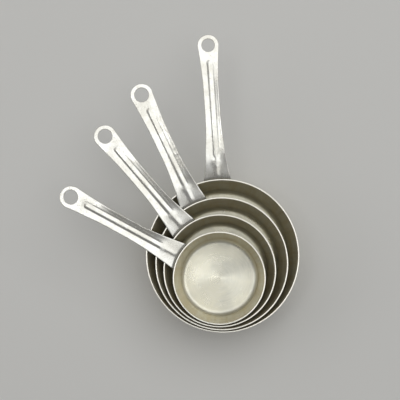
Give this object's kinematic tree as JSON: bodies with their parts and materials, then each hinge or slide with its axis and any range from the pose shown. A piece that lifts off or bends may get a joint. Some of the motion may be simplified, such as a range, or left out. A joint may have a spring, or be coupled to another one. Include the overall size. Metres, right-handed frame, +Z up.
{
  "type": "measuring cup set",
  "caption": "Nested shallow pressed-steel measuring cups with welded strap handles fanned out; each smaller cup lifts straight out of the next.",
  "frame": {"origin": "centre of the largest bowl's underside, on the surface that the set stands on", "axes": "+Z up out of the cups' mouths; the largest cup's handle points close to +Y and the smaller cups' handles fan from it towards -X"},
  "size_m": [0.1524, 0.1901, 0.0468],
  "materials": {
    "bowl_steel": "spun, satin stainless steel, slightly warm and stained",
    "handle_steel": "tumbled satin stainless steel with fine scratches",
    "weld_steel": "pressed spot weld, slightly heat tinted"
  },
  "bodies": {
    "one_cup": {"one_cup_bowl": "bowl_steel", "one_cup_handle": "handle_steel", "one_cup_weld_left": "weld_steel", "one_cup_weld_right": "weld_steel"},
    "three_quarter_cup": {"three_quarter_cup_bowl": "bowl_steel", "three_quarter_cup_handle": "handle_steel", "three_quarter_cup_weld_left": "weld_steel", "three_quarter_cup_weld_right": "weld_steel"},
    "half_cup": {"half_cup_bowl": "bowl_steel", "half_cup_handle": "handle_steel", "half_cup_weld_left": "weld_steel", "half_cup_weld_right": "weld_steel"},
    "third_cup": {"third_cup_bowl": "bowl_steel", "third_cup_handle": "handle_steel", "third_cup_weld_left": "weld_steel", "third_cup_weld_right": "weld_steel"}
  },
  "joints": [
    {"name": "three_quarter_cup_lift", "type": "slide", "parent": "one_cup", "child": "three_quarter_cup", "axis": [0, 0, 1], "range_m": [0, 0.05]},
    {"name": "half_cup_lift", "type": "slide", "parent": "three_quarter_cup", "child": "half_cup", "axis": [0, 0, 1], "range_m": [0, 0.05]},
    {"name": "third_cup_lift", "type": "slide", "parent": "half_cup", "child": "third_cup", "axis": [0, 0, 1], "range_m": [0, 0.05]}
  ]
}
